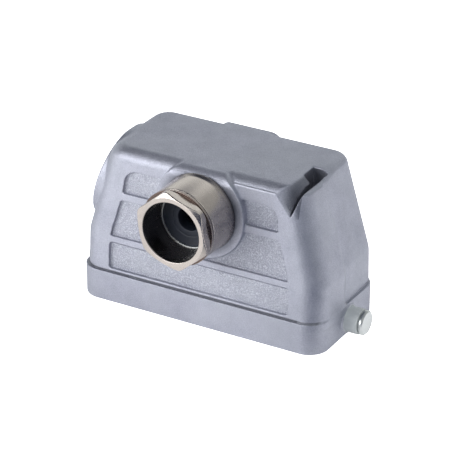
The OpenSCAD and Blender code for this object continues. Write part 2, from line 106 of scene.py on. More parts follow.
# edges and fillets of the casting; the band's fillet is larger where the pads meet it
BAND_EDGE, RIM_EDGE, PANEL_EDGE, CAVITY_EDGE = 0.18, 0.6, 0.16, 0.3
POCKET_EDGE, ENTRY_EDGE = 0.28, 0.2
BAND_FILLET, FLUSH_FILLET, FLUSH_X = 0.1, 0.9, 40
BOSS_FILLET, STUB_FILLET, POST_FILLET = 0.5, 0.25, 0.4
# cavity: height, half length, half width and corner radius
CAVITY = np.array([
    [-1, 43.6, 18.2, 4.4], [24.2, 42.6, 17.2, 4.2],
    [36, 39.35, 16.0, 4.0], [43.6, 35.8, 15.4, 4.0],
    [50, 26.4, 15.0, 3.5], [53.2, 25.0, 14.4, 3.0],
    [54.1, 23.6, 13.1, 2.2]])

# --------------------------------------------------------- gland sizes (mm)
# about the entry boss's axis, with stations measured out of the boss face
SHANK_R, SHANK_IN_R, SHANK_END, UNDERCUT_R, UNDERCUT = 11, 9.2, -4.4, 13.05, 0.8
SCREW_BORE_R, SCREW_BORE_END, SEAT_R, SEAT_END = 12.5, 6.4, 11.25, 3.6
SLEEVE_R, SLEEVE_END, FLARE_R, FLARE_T = 13.3, 13.0, 13.9, 2.0
SEAL_BACK, SEAL_FRONT, SEAL_R, SEAL_BACK_R, SEAL_IN_R = 1.5, 6.7, 11.2, 9.65, 4.1
SEAL_LINE_R, SEAL_LINE_DEPTH = 6.2, 0.15
SCREW_END, RING_R, RING_OUT_R = 7.4, 9.7, 11.19
COLLAR_BACK, COLLAR_R = 13.4, 13.4
HEX_BACK, HEX_FRONT, HEX_AF, HEX_CORNER_R = 14.3, 18.3, 24.8, 13.95
HEX_TURN = math.radians(40)
BORE_R, THREAD_R, THREAD_DEPTH, PITCH = 10.6, 12.44, 0.75, 1.5
SCREW_REACH = 14.8

# ------------------------------------------------------- fineness of meshes
# grid step and margin in mm, the share of the faces that is kept, and how often a mesh's
# points are pulled onto the surface
HOOD_STEP, HOOD_KEPT = ((0.42, 0.4))
SCREW_STEP, SCREW_KEPT = (0.22), 0.35
MARGIN, PULLS = 0.8, 4


# ------------------------------------------------- distance field helpers
def cut_both(a, b, r):
    """Intersection of two solids with a round edge of radius r."""
    u, v = np.maximum(a + r, 0), np.maximum(b + r, 0)
    return np.minimum(-r, np.maximum(a, b)) + np.hypot(u, v)


def join(a, b, r):
    """Union with a round fillet of radius r."""
    return -cut_both(-a, -b, r)


def take(a, b, r):
    """a without b, with a round edge of radius r."""
    return cut_both(a, -b, r)


def rounded_rect(x, y, hx, hy, r):
    """Upright bar with half sides hx and hy and corners of radius r."""
    qx, qy = np.abs(x) - hx + r, np.abs(y) - hy + r
    return (np.hypot(np.maximum(qx, 0), np.maximum(qy, 0))
            + np.minimum(np.maximum(qx, qy), 0) - r)


def ramp(t):
    """Smooth step from 0 to 1."""
    t = np.clip(t, 0, 1)
    return t * t * (3 - 2 * t)


# --------------------------------------------------- the hood, part by part
def face_at(z, tilt=LEAN):
    """Half width of the body on the side that leans by tilt."""
    return FACE_Y - (z - BAND) * math.tan(tilt)


def end_at(z):
    """Half length of the body: upright, then leaning above a soft kink."""
    t = z - KINK
    return END_X - END_SLOPE * 0.5 * (t + np.sqrt(t * t + KINK_SOFT))


def walls(x, y, z, out=0.0):
    """Upright faces of the body, with its ends moved out."""
    mid = (face_at(z, BACK_LEAN) - face_at(z)) / 2
    corner = np.where(y < 0, FRONT_CORNER_R, BACK_CORNER_R)
    return rounded_rect(x, y - mid, end_at(z) + out, face_at(z) + mid, corner)


def panels(x, y, z):
    """The three recessed panels of each long face."""
    ax, ay = np.abs(x), np.abs(y)
    c = np.where(y > 0, math.cos(BACK_LEAN), math.cos(LEAN))
    s = np.where(y > 0, math.sin(BACK_LEAN), math.sin(LEAN))
    out = (ay - FACE_Y) * c + (z - BAND) * s
    up = -(ay - FACE_Y) * s + (z - BAND) * c
    lo, hi = LOW_PANEL
    low = rounded_rect(x, up - (lo + hi) / 2, LOW_HALF, (hi - lo) / 2, LOW_PANEL_R)
    lo, hi = MID_PANEL
    side = ax - (MID_HALF - (up - lo) * MID_TAPER / (hi - lo))
    mid = cut_both(side, np.maximum(lo - up, up - hi), PANEL_R)
    lo, hi = TOP_PANEL
    side = ax - (TOP_HALF - (up - lo) * TOP_TAPER / (hi - lo))
    top = cut_both(cut_both(side, up - hi, TOP_PANEL_R), lo - up, PANEL_R)
    return cut_both(np.minimum(np.minimum(low, mid), top), -(out + PANEL_DEPTH), 0.2)


def body(x, y, z):
    """The body above the band, with its end pads, parting lines, panels and groove."""
    side = np.sign(x)
    wall = walls(x, y, z)
    d = cut_both(wall, z - TOP, TOP_EDGE_R - SHARP_BY * ramp((y - SHARP_Y) / SHARP_RUN))
    # the front half of the right end and the back half of the left one
    high = ramp((z - STEEP_Z) / STEEP_RUN)
    out = PAD_T * np.clip((-side * y - PAD_Y - STEEP_SHIFT * high)
                          / (PAD_RUN - STEEP_LESS * high), 0, 1)
    pad = cut_both(walls(x, y, z, out), z - PAD_TOP, 0.6)
    pad = np.maximum(np.maximum(pad, PAD_X - np.abs(x)), side * y + PAD_Y)
    d = np.minimum(d, pad)
    # two low ridges, a little off the middle of each end face
    ridges = np.exp(-((np.abs(y + side * 0.1) - SEAM_Y) / SEAM_W) ** 2)
    d = d - SEAM_H * ridges * ramp((SEAM_TOP - z) / SEAM_RUN) * (np.abs(x) > SEAM_X)
    d = take(d, panels(x, y, z), PANEL_EDGE)
    # groove where the body steps in from the band
    groove = GROOVE_DEPTH * np.exp(-((z - BAND - GROOVE_Z) / GROOVE_W) ** 2)
    groove = groove * ramp((np.abs(y) - GROOVE_Y) / GROOVE_RUN)
    d = np.maximum(d, BODY_FOOT - z)
    return np.maximum(d, np.where(pad < wall, d, wall + groove))


def side_bosses(x, y, z):
    """Round entry boss in front, and its blank twin on the back."""
    blank, ay = y > 0, np.abs(y)
    rim = np.hypot(x - np.where(blank, BLANK_X, BOSS_X), z - BOSS_Z) - BOSS_R
    face = cut_both(ay - np.where(blank, BLANK_Y, BOSS_Y), z - TOP,
                    np.where(blank, BLANK_TOP_R, BOSS_TOP_R))
    return np.maximum(cut_both(rim, face, BOSS_EDGE_R), BOSS_ROOT - ay)


def end_boss(x, y, z):
    """Round boss on the left end."""
    rim = np.hypot(y, z - END_BOSS_Z) - END_BOSS_R
    face = np.maximum(-x - END_X - 0.5,
                      (-x - end_at(z) - END_BOSS_T) * math.cos(math.atan(END_SLOPE)))
    face = cut_both(face, z - TOP + 0.02, 1.0)
    return np.maximum(cut_both(rim, face, 0.5), x - END_BOSS_ROOT)


def peg_stubs(x, y, z):
    """Turned stub with a low collar on each end, around the pegs."""
    ax, r = np.abs(x), np.hypot(y, z - PEG_Z)
    stub = cut_both(r - STUB_R, ax - STUB_END, 0.4)
    collar = cut_both(r - STUB_R - STUB_COLLAR, ax - HALF_L - 0.4, 0.3)
    return np.maximum(np.minimum(stub, collar), STUB_ROOT - ax)


def cavity(x, y, z):
    """Hollow of the hood, from its open rim up."""
    h = [np.interp(z, CAVITY[:, 0], CAVITY[:, i]) for i in (1, 2, 3)]
    return cut_both(rounded_rect(x, y, *h), z - CAVITY[-1, 0], 0.8)


def insert_posts(x, y, z):
    """Four posts above the insert's flange, each with its web."""
    px, py = np.abs(x) - FIX_X, np.abs(y) - FIX_Y
    post = np.maximum(np.hypot(px, py) - POST_R, np.maximum(FLANGE_TOP - z, z - POST_TOP))
    web = np.maximum(np.abs(px) - WEB_HALF_T, np.abs(py - WEB_HALF_L) - WEB_HALF_L)
    web = np.maximum(web, np.maximum(FLANGE_TOP - z, z - POST_TOP + 2))
    return np.minimum(post, web)


def pocket(x, y, z):
    """Slot, square well and sloping wall in the top front right corner."""
    right = SLOT_X + np.interp(z, *SLOT_WIDENS)
    slot = np.maximum(np.maximum(SLOT_X - x, x - right), SLOT_Z - z)
    slot = np.maximum(slot, y - POCKET_BACK)
    well = np.maximum(np.maximum(POCKET_X - x, x - SLOT_RIGHT),
                      np.maximum(WELL_FRONT - y, y - POCKET_BACK))
    well = np.maximum(well, SLOT_Z - 0.4 - z)
    # the sloping wall twists and widens towards the front face
    upper = POCKET_X - WALL_OUT * np.clip((WALL_OUT_Y - y) / WALL_OUT_RUN, 0, RUN_PAST) ** 2
    lower = WALL_Z - WALL_SINK * np.clip((WALL_SINK_Y - y) / WALL_SINK_RUN, 0, RUN_PAST) ** 2
    rise = (TOP - lower) / (SLOT_X - upper)
    slope = (lower + rise * (SLOT_X - x) - z) / np.hypot(1, rise)
    slope = np.maximum(slope, y - WELL_FRONT)
    slope = np.maximum(slope, np.maximum(x - SLOT_X - 0.02, SLOT_Z - z))
    return np.minimum(np.minimum(slot, well), slope)


def fixing_bores(x, y, z):
    """Seats of the two pegs and holes of the four insert screws."""
    ax, ay = np.abs(x), np.abs(y)
    peg = np.maximum(np.hypot(y, z - PEG_Z) - PEG_HOLE_R, PEG_HOLE_X - ax)
    screw = np.hypot(ax - FIX_X, ay - FIX_Y) - FIX_HOLE_R
    screw = np.maximum(screw, np.abs(z - FIX_HOLE_Z) - FIX_HOLE_HALF)
    return np.minimum(peg, screw)


def hood_field(x, y, z):
    """Distance to the surface of the whole casting, below 0 inside the metal."""
    band = cut_both(rounded_rect(x, y, HALF_L, HALF_W, RIM_R), z - BAND, BAND_EDGE)
    flush = (np.abs(x) > FLUSH_X) & (np.sign(x) * y < -PAD_Y)
    d = join(body(x, y, z), band, np.where(flush, FLUSH_FILLET, BAND_FILLET))
    d = np.maximum(join(d, side_bosses(x, y, z), BOSS_FILLET), z - TOP)
    d = join(d, end_boss(x, y, z), BOSS_FILLET)
    d = join(d, peg_stubs(x, y, z), STUB_FILLET)
    d = cut_both(d, -z, RIM_EDGE)
    d = take(d, cavity(x, y, z), CAVITY_EDGE)
    d = join(d, insert_posts(x, y, z), POST_FILLET)
    d = take(d, pocket(x, y, z), POCKET_EDGE)
    entry = np.maximum(np.hypot(x - BOSS_X, z - BOSS_Z) - ENTRY_R, y - ENTRY_END)
    d = take(d, entry, ENTRY_EDGE)
    return np.maximum(d, -fixing_bores(x, y, z))


def screw_field(x, y, z):
    """Pressure screw, about its own axis; y is the distance out of the boss face."""
    r, turn = np.hypot(x, z), np.arctan2(z, x)
    side = np.mod(turn - HEX_TURN, math.pi / 3) - math.pi / 6
    d = cut_both(r * np.cos(side) - HEX_AF / 2, r - HEX_CORNER_R, 0.5)
    # both ends of the hexagon are turned off to a cone; the last factor of each makes the
    # distance to it a true one
    front = (y - HEX_FRONT + (r - HEX_AF / 2 + 0.1) * 0.55) * 0.876
    back = (HEX_BACK - y + (r - HEX_AF / 2 - 0.2) * 0.9) * 0.74
    d = cut_both(d, np.maximum(front, y - HEX_FRONT), 0.22)
    d = cut_both(d, np.maximum(back, HEX_BACK - 0.5 - y), 0.2)
    collar = cut_both(r - COLLAR_R, np.maximum(COLLAR_BACK - y, y - HEX_BACK), 0.15)
    d = join(d, collar, 0.06)
    # right hand thread with slanted flanks, cut away next to the collar
    phase = np.mod(y / PITCH + turn / (2 * math.pi), 1)
    depth = np.clip(np.abs(phase - 0.5) * 2 * 1.1 - 0.05, 0, 1) * THREAD_DEPTH
    depth = np.where(y > COLLAR_BACK - 1.0, THREAD_DEPTH, depth)
    shank = np.maximum(r - THREAD_R + depth, np.maximum(SCREW_END - y, y - HEX_BACK))
    d = np.minimum(d, shank * 0.8)
    bore = r - np.interp(y, [SCREW_END, HEX_FRONT], [RING_R + 0.25, BORE_R])
    return take(d, bore, 0.3)


def placed_screw_field(x, y, z):
    return screw_field(x - BOSS_X, -y - BOSS_Y, z - BOSS_Z)


# ------------------------------------------------------------------- meshes
def gradient(f, p, e=0.04):
    """Slope of the field f at the points p, from samples e apart on both sides."""
    g = np.empty_like(p)
    for i in range(3):
        a, b = p.copy(), p.copy()
        a[:, i] += e
        b[:, i] -= e
        g[:, i] = (f(*a.T) - f(*b.T)) / (2 * e)
    return g


def crossed_cells(value):
    """One point for each grid cell that the surface crosses: the mean of its edge crossings."""
    inside = value < 0
    n = [size - 1 for size in value.shape]
    total = np.zeros(n, np.int8)
    for c in np.ndindex(2, 2, 2):
        total += inside[tuple(slice(o, o + m) for o, m in zip(c, n))]
    cell = np.argwhere((total > 0) & (total < 8))
    point, weight = np.zeros((len(cell), 3)), np.zeros(len(cell))
    for axis in range(3):
        unit = np.eye(3, dtype=int)[axis]
        for c in np.ndindex(2, 2, 2):
            if c[axis]:
                continue
            a = cell + c
            va, vb = value[tuple(a.T)], value[tuple((a + unit).T)]
            hit = (va < 0) != (vb < 0)
            t = np.where(hit, va / np.where(hit, va - vb, 1), 0)
            point += hit[:, None] * (a + t[:, None] * unit)
            weight += hit
    return cell, point / weight[:, None]


def net_quads(inside, ident):
    """One quad around each grid edge that crosses the surface, facing out."""
    quads = []
    for axis in range(3):
        u, w = [i for i in range(3) if i != axis]
        low = [slice(1, -1)] * 3
        low[axis] = slice(0, -1)
        high = list(low)
        high[axis] = slice(1, None)
        a, b = inside[tuple(low)], inside[tuple(high)]
        at = np.argwhere(a != b)
        leaving = a[tuple(at.T)]
        at[:, u] += 1
        at[:, w] += 1
        ring = []
        for du, dw in ((0, 0), (-1, 0), (-1, -1), (0, -1)):
            k = at.copy()
            k[:, u] += du
            k[:, w] += dw
            ring.append(ident[tuple(k.T)])
        q = np.stack(ring, 1)
        flip = leaving if axis != 1 else ~leaving
        q[flip] = q[flip][:, ::-1]
        quads.append(q)
    return np.concatenate(quads)[:, ::-1]


def surface(f, lo, hi, step):
    """Surface net of f = 0, its points pulled onto the surface. Returns points, quads."""
    axes = [np.arange(a, b + step, step) for a, b in zip(lo, hi)]
    value = np.empty([len(a) for a in axes], np.float32)
    gy, gz = np.meshgrid(axes[1], axes[2], indexing="ij")
    for i, x in enumerate(axes[0]):
        value[i] = f(np.full_like(gy, x), gy, gz)
    cell, point = crossed_cells(value)
    ident = np.full([size - 1 for size in value.shape], -1, np.int32)
    ident[tuple(cell.T)] = np.arange(len(cell))
    point = point * step + np.array(lo)
    for _ in range(PULLS):
        g = gradient(f, point)
        size = np.maximum((g * g).sum(1), 0.2)
        move = -f(*point.T)[:, None] * g / size[:, None]
        length = np.linalg.norm(move, axis=1, keepdims=True)
        point += move * np.minimum(1, 0.5 * step / np.maximum(length, 1e-9))
    return point, net_quads(value < 0, ident)


def add_mesh(name, verts, faces, smooth=True):
    me = bpy.data.meshes.new(name)
    me.from_pydata([tuple(v) for v in verts], [], [tuple(f) for f in faces])
    me.update()
    if smooth:
        me.shade_smooth()
    ob = bpy.data.objects.new(name, me)
    bpy.context.scene.collection.objects.link(ob)
    return ob


def thin_out(ob, ratio):
    """Keeps this share of the faces, most of them where the surface curves."""
    ob.modifiers.new("thin", "DECIMATE").ratio = ratio
    deps = bpy.context.evaluated_depsgraph_get()
    me = bpy.data.meshes.new_from_object(ob.evaluated_get(deps))
    ob.modifiers.clear()
    ob.data = me
    me.shade_smooth()


def add_solid(name, field, lo, hi, step, kept):
    """Piece from a distance field, kept in the CAD's box, shaded by the field's own normals."""
    points, quads = surface(field, lo, hi, step)
    ob = add_mesh(name, points * MM, quads)
    thin_out(ob, kept)
    co = np.empty(len(ob.data.vertices) * 3)
    ob.data.vertices.foreach_get("co", co)
    co = np.clip(co.reshape(-1, 3), *CAD_BOX)
    ob.data.vertices.foreach_set("co", co.ravel())
    g = gradient(field, co / MM, 0.06)
    g /= np.maximum(np.linalg.norm(g, axis=1, keepdims=True), 1e-6)
    ob.data.normals_split_custom_set_from_vertices([tuple(v) for v in g])
    return ob


def lathe(name, profile, segments):
    """Turned piece about the gland's axis, from a closed profile of (radius, station)."""
    verts, faces = [], []
    n = len(profile)
    for s in range(segments):
        a = 2 * math.pi * s / segments
        for r, h in profile:
            verts.append(((BOSS_X + r * math.cos(a)) * MM, (-BOSS_Y - h) * MM,
                          (BOSS_Z + r * math.sin(a)) * MM))
    for s in range(segments):
        t = (s + 1) % segments
        for i in range(n):
            j = (i + 1) % n
            faces.append((s * n + i, t * n + i, t * n + j, s * n + j))
    return add_mesh(name, verts, faces)


def round_corners(points, radii):
    """Closed profile with each corner rounded by its own radius."""
    out = []
    steps = 4
    for i, (p, r) in enumerate(zip(points, radii)):
        p = Vector(p)
        a, b = Vector(points[i - 1]) - p, Vector(points[(i + 1) % len(points)]) - p
        cut = min(r, a.length * 0.45, b.length * 0.45)
        a, b = p + a.normalized() * cut, p + b.normalized() * cut
        for k in range(steps + 1):
            t = k / steps
            out.append(tuple(a.lerp(p, t).lerp(p.lerp(b, t), t)))
    return out


# ------------------------------------------------------------- shader nodes
def node(tree, kind, **values):
    """New node. i_Name sets the input Name, and any other name a property of the node."""
    n = tree.nodes.new(kind)
    for key, value in values.items():
        if key.startswith("i_"):
            n.inputs[key[2:].replace("_", " ")].default_value = value
        else:
            setattr(n, key, value)
    return n


def object_space(tree):
    return node(tree, "ShaderNodeTexCoord").outputs["Object"]


def split(tree, vector):
    """Outputs X, Y and Z of a vector."""
    n = node(tree, "ShaderNodeSeparateXYZ")
    tree.links.new(vector, n.inputs[0])
    return n.outputs["X"], n.outputs["Y"], n.outputs["Z"]


def dot(tree, vector, direction):
    n = node(tree, "ShaderNodeVectorMath", operation="DOT_PRODUCT")
    n.inputs[1].default_value = direction
    tree.links.new(vector, n.inputs[0])
    return n.outputs["Value"]


def noise(tree, scale, detail=3.0, rough=0.6):
    """Noise in object space, in features per metre."""
    n = node(tree, "ShaderNodeTexNoise", i_Scale=scale, i_Detail=detail, i_Roughness=rough)
    tree.links.new(object_space(tree), n.inputs["Vector"])
    return n.outputs["Fac"]


def math_node(tree, op, *operands):
    n = node(tree, "ShaderNodeMath", operation=op)
    for i, v in enumerate(operands):
        if isinstance(v, (int, float)):
            n.inputs[i].default_value = v
        else:
            tree.links.new(v, n.inputs[i])
    return n.outputs[0]


def fold(tree, op, first, *others):
    """Takes any number of values together, two at a time."""
    for other in others:
        first = math_node(tree, op, first, other)
    return first


def plus(tree, *terms):
    return fold(tree, "ADD", *terms)


def times(tree, *factors):
    return fold(tree, "MULTIPLY", *factors)


def largest(tree, *values):
    return fold(tree, "MAXIMUM", *values)


def away(tree, value, place):
    """How far a value is from a place, either way."""
    return math_node(tree, "ABSOLUTE", math_node(tree, "SUBTRACT", value, place))


def below(tree, value, limit):
    return math_node(tree, "LESS_THAN", value, limit)


def remap(tree, fac, a, b, low, high):
    """Maps a..b to low..high, and holds the ends."""
    n = node(tree, "ShaderNodeMapRange")
    for i, v in enumerate((a, b, low, high)):
        n.inputs[i + 1].default_value = v
    tree.links.new(fac, n.inputs[0])
    return n.outputs[0]


def spread(tree, fac, low, high):
    """Maps the middle of a noise to low..high."""
    return remap(tree, fac, 0.3, 0.7, low, high)


def mix(tree, fac, first, second):
    """Colour between two, each a tuple or another node's output."""
    n = node(tree, "ShaderNodeMix", data_type="RGBA")
    for i, color in ((6, first), (7, second)):
        if isinstance(color, tuple):
            n.inputs[i].default_value = (*color, 1)
        else:
            tree.links.new(color, n.inputs[i])
    tree.links.new(fac, n.inputs[0])
    return n.outputs[2]


def tint(tree, shader, fac, dark, light):
    tree.links.new(mix(tree, fac, dark, light), shader.inputs["Base Color"])


def shade_over(tree, shader, fac, color):
    """Lays one colour over the base colour where the factor says."""
    base = shader.inputs["Base Color"]
    tree.links.new(mix(tree, fac, base.links[0].from_socket, color), base)


def bump(tree, shader, height, distance):
    n = node(tree, "ShaderNodeBump", i_Strength=1.0, i_Distance=distance)
    tree.links.new(height, n.inputs["Height"])
    tree.links.new(n.outputs[0], shader.inputs["Normal"])


def mix_shaders(tree, fac, first, second):
    n = node(tree, "ShaderNodeMixShader")
    for i, socket in enumerate((fac, first, second)):
        tree.links.new(socket, n.inputs[i])
    return n.outputs[0]


# ---------------------------------------------------------------- materials
def material(name, color, rough, metal=0.0, specular=0.5):
    m = bpy.data.materials.new(name)
    m.use_nodes = True
    shader = m.node_tree.nodes["Principled BSDF"]
    shader.inputs["Base Color"].default_value = (*color, 1)
    shader.inputs["Roughness"].default_value = rough
    shader.inputs["Metallic"].default_value = metal
    shader.inputs["Specular IOR Level"].default_value = specular
    return m, m.node_tree, shader


def mottled(name, dark, light, rough, metal, grain, depth):
    """Material whose colour, roughness and relief vary with a fine and a broad noise."""
    m, tree, shader = material(name, light, rough, metal)
    fine, broad = noise(tree, grain), noise(tree, grain / 12)
    both = plus(tree, times(tree, fine, 0.5), times(tree, broad, 0.5))
    tint(tree, shader, spread(tree, both, 0, 1), dark, light)
    vary = 0.05
    tree.links.new(spread(tree, both, rough - vary, rough + vary), shader.inputs["Roughness"])
    bump(tree, shader, fine, depth)
    return m


def about_gland(tree):
    """Distance from the gland's axis and the place along it, in object space."""
    pos = object_space(tree)
    flat = node(tree, "ShaderNodeVectorMath", operation="MULTIPLY_ADD")
    flat.inputs[1].default_value = (1, 0, 1)
    flat.inputs[2].default_value = (-BOSS_X * MM, 0, -BOSS_Z * MM)
    tree.links.new(pos, flat.inputs[0])
    size = node(tree, "ShaderNodeVectorMath", operation="LENGTH")
    tree.links.new(flat.outputs[0], size.inputs[0])
    return size.outputs["Value"], split(tree, pos)[1]


def plated_material():
    """Nickel plate, with painted shade in the bore, in the gap behind the hexagon and at the
    sleeve's foot.
    """
    m = mottled("nickel_plate", (0.54, 0.485, 0.45), (0.655, 0.59, 0.55),
                rough=0.26, metal=1.0, grain=700, depth=0.01 * MM)
    tree = m.node_tree
    shader = tree.nodes["Principled BSDF"]
    radius, y = about_gland(tree)
    # painted shade inside the bore
    bore = remap(tree, radius, (BORE_R + 0.1) * MM, (BORE_R + 0.3) * MM, 0.62, 0.0)
    shade_over(tree, shader, bore, (0.09, 0.09, 0.10))
    # painted shade in the narrow gap between the sleeve and the hexagon, darkest close to the
    # thread
    gap_station = (COLLAR_BACK + HEX_BACK) / 2
    from_gap = math_node(tree, "ABSOLUTE", plus(tree, y, (BOSS_Y + gap_station) * MM))
    thread = remap(tree, radius, (SCREW_BORE_R - 0.3) * MM, (SCREW_BORE_R - 0.2) * MM, 0.0, 1.0)
    edge = remap(tree, radius, (SLEEVE_R - 0.05) * MM, (SLEEVE_R + 0.05) * MM, 1.0, 0.4)
    gap_shade = times(tree, remap(tree, from_gap, 0.5 * MM, 0.68 * MM, 0.85, 0.0), thread, edge)
    shade_over(tree, shader, gap_shade, (0.09, 0.05, 0.04))
    # painted shade on the outside of the sleeve, darkest where it meets the boss face
    outside = remap(tree, radius, (SCREW_BORE_R + 0.1) * MM, (SCREW_BORE_R + 0.3) * MM, 0.0, 1.0)
    foot = times(tree, remap(tree, y, -(BOSS_Y + 2.6) * MM, -BOSS_Y * MM, 0.0, 0.8), outside)
    shade_over(tree, shader, foot, (0.05, 0.05, 0.07))
    return m


def along_normal(tree, pos, side, tilt):
    """Place along a long face's normal, and where the face itself is; side is -1 in front."""
    place = dot(tree, pos, (0, side * math.cos(tilt), math.sin(tilt)))
    return place, (FACE_Y * math.cos(tilt) + BAND * math.sin(tilt)) * MM


def cast_material():
    """Powder coated die casting: fine orange peel, pebble grain on the panel floors."""
    m, tree, shader = material("hood_coat", (0.5, 0.51, 0.57), 0.42, 0.7, specular=0.45)
    pos = object_space(tree)
    x, y, z = split(tree, pos)
    out = math_node(tree, "ABSOLUTE", x)
    peel, speck, broad = noise(tree, 900, 2), noise(tree, 2600, 3, 0.7), noise(tree, 60)

    # panel floors, by their depth behind each long face
    front, front_face = along_normal(tree, pos, -1, LEAN)
    back, back_face = along_normal(tree, pos, 1, BACK_LEAN)
    floors = [below(tree, away(tree, place, face - PANEL_DEPTH * MM), 0.25 * MM)
              for place, face in ((front, front_face), (back, back_face))]
    on_floor = times(tree, largest(tree, *floors), below(tree, out, (LOW_HALF + 0.4) * MM),
                     below(tree, z, PANELS_END * MM))

    # relief
    pebble = node(tree, "ShaderNodeTexVoronoi", feature="SMOOTH_F1", i_Scale=1250.0,
                  i_Randomness=1.0)
    tree.links.new(pos, pebble.inputs["Vector"])
    pebbles = times(tree, plus(tree, pebble.outputs["Distance"], times(tree, speck, 0.8)),
                    on_floor)
    bump(tree, shader, plus(tree, times(tree, peel, 0.35), times(tree, speck, 0.6),
                            times(tree, pebbles, 0.9)), 0.2 * MM)

    # colour: two greys, lighter grains on the floors, greener patches
    tone = plus(tree, times(tree, speck, 0.6),
                times(tree, plus(tree, broad, noise(tree, 170, 2)), 0.2))
    tint(tree, shader, spread(tree, tone, 0, 1), (0.30, 0.31, 0.39), (0.66, 0.665, 0.765))
    tree.links.new(spread(tree, peel, 0.40, 0.52), shader.inputs["Roughness"])
    grains = times(tree, remap(tree, speck, 0.5, 0.6, 0.0, 0.7), on_floor)
    shade_over(tree, shader, grains, (0.85, 0.87, 0.93))
    shade_over(tree, shader, spread(tree, noise(tree, 45), 0.0, 0.5), (0.49, 0.51, 0.57))

    # painted shade: a darker ring where the gland stands on its boss, for the sleeve's shadow on
    # it
    radius, along = about_gland(tree)
    ring = times(tree, remap(tree, radius, FLARE_R * MM, (BOSS_R - 0.7) * MM, 0.5, 0.0),
                 below(tree, along, (0.8 - BOSS_Y) * MM))
    shade_over(tree, shader, ring, (0.04, 0.045, 0.07))

    # the pocket is in shade
    shade = times(
        tree, remap(tree, front, front_face - 1.0 * MM, front_face - 0.4 * MM, 1.0, 0.0),
        remap(tree, x, (POCKET_X - 1.4) * MM, (POCKET_X + 1.0) * MM, 0.0, 0.55),
        remap(tree, z, (TOP - 0.7) * MM, (TOP - 0.2) * MM, 1.0, 0.0),
        below(tree, y, (POCKET_BACK + 0.1) * MM), below(tree, x, (SLOT_RIGHT + 0.2) * MM),
        math_node(tree, "GREATER_THAN", z, (SLOT_Z - 0.6) * MM))
    shade_over(tree, shader, shade, (0.05, 0.055, 0.08))

    # the turned peg stubs are bare metal, and their colour is painted lighter as well, for light
    # that the lamps do not bring to them
    bare_and_painted_light = remap(tree, out, (HALF_L + 0.35) * MM, (HALF_L + 0.6) * MM, 0.0, 1.0)
    tree.links.new(remap(tree, bare_and_painted_light, 0.0, 1.0, 0.7, 0.15), shader.inputs["Metallic"])
    shade_over(tree, shader, bare_and_painted_light, (0.82, 0.855, 0.86))

    # shadow line above the band, apart from the flush right end
    line = remap(tree, away(tree, z, (BAND + 0.4) * MM), 0.25 * MM, 0.5 * MM, 0.6, 0.0)
    line = times(tree, line, remap(tree, x, (END_X - 1) * MM, END_X * MM, 1.0, 0.0))
    shade_over(tree, shader, line, (0.02, 0.022, 0.03))
    return m


MAT = {
    "hood": cast_material(),
    "steel": mottled("zinc_steel", (0.54, 0.56, 0.565), (0.67, 0.69, 0.695),
                     rough=0.3, metal=1.0, grain=900, depth=0.01 * MM),
    "nickel": plated_material(),
    "rubber": mottled("seal_rubber", (0.014, 0.018, 0.03), (0.032, 0.04, 0.062),
                      rough=0.48, metal=0.0, grain=1500, depth=0.03 * MM),
    "insert": mottled("insert_plastic", (0.50, 0.49, 0.45), (0.56, 0.55, 0.51),
                      rough=0.5, metal=0.0, grain=1800, depth=0.02 * MM),
    "contact": mottled("silver_plate", (0.72, 0.69, 0.62), (0.86, 0.84, 0.78),
                       rough=0.25, metal=1.0, grain=900, depth=0.01 * MM),
    "clamp": mottled("plain_brass", (0.55, 0.40, 0.20), (0.70, 0.54, 0.30),
                     rough=0.34, metal=1.0, grain=900, depth=0.01 * MM),
}


# ------------------------------------------------------------------- pieces
SHAPED = set()


def coat(ob, slot):
    """Gives a piece the material of its slot."""
    ob.data.materials.clear()
    ob.data.materials.append(MAT[slot])


def dress(ob, slot, body_name, replaced):
    """Gives a piece its material and its body, and lets it stand for its CAD node."""
    coat(ob, slot)
    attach(ob, body_name)
    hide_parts(replaced)
    SHAPED.add(replaced)


hood = add_solid("hood_casting", hood_field, (-STUB_END - MARGIN, -HALF_W - MARGIN, -MARGIN),
                 (STUB_END + MARGIN, HALF_W + MARGIN, TOP + MARGIN), HOOD_STEP, HOOD_KEPT)
dress(hood, "hood", "hood", "hood_shell")

# shank in the entry bore, flared foot on the boss face, tube around the screw, seal's seat
sleeve = lathe("sleeve", round_corners(
    [(SHANK_IN_R, SHANK_END), (SHANK_R - 0.4, SHANK_END), (SHANK_R, SHANK_END + 0.4),
     (SHANK_R, UNDERCUT), (UNDERCUT_R, UNDERCUT), (UNDERCUT_R, 0.02), (FLARE_R, 0.02),
     (SLEEVE_R + 0.45, 0.9), (SLEEVE_R + 0.2, FLARE_T), (SLEEVE_R, SLEEVE_END),
     (SCREW_BORE_R, SLEEVE_END), (SCREW_BORE_R, SCREW_BORE_END), (SEAT_R, SCREW_BORE_END),
     (SEAT_R, SEAT_END), (9.75, 1.45), (SHANK_IN_R, 1.3)],
    [0.2, 0.2, 0.2, 0.1, 0.1, 0.1, 0.6, 0.2, 0.3, 0.35, 0.2, 0.2, 0.1, 0.1, 0.1, 0.1]), 192)
dress(sleeve, "nickel", "hood", "gland_sleeve")

screw = add_solid("pressure_screw", placed_screw_field,
                  (BOSS_X - SCREW_REACH, -BOSS_Y - HEX_FRONT - 0.5, BOSS_Z - SCREW_REACH),
                  (BOSS_X + SCREW_REACH, -BOSS_Y - SCREW_END + 0.5, BOSS_Z + SCREW_REACH),
                  SCREW_STEP, SCREW_KEPT)
dress(screw, "nickel", "pressure_screw", "gland_pressure_screw")

ring = lathe("thrust_ring", round_corners(
    [(RING_R, SEAL_FRONT), (RING_OUT_R, SEAL_FRONT), (RING_OUT_R, SCREW_END),
     (RING_R, SCREW_END)], [0.14] * 4), 160)
dress(ring, "steel", "thrust_ring", "gland_thrust_ring")

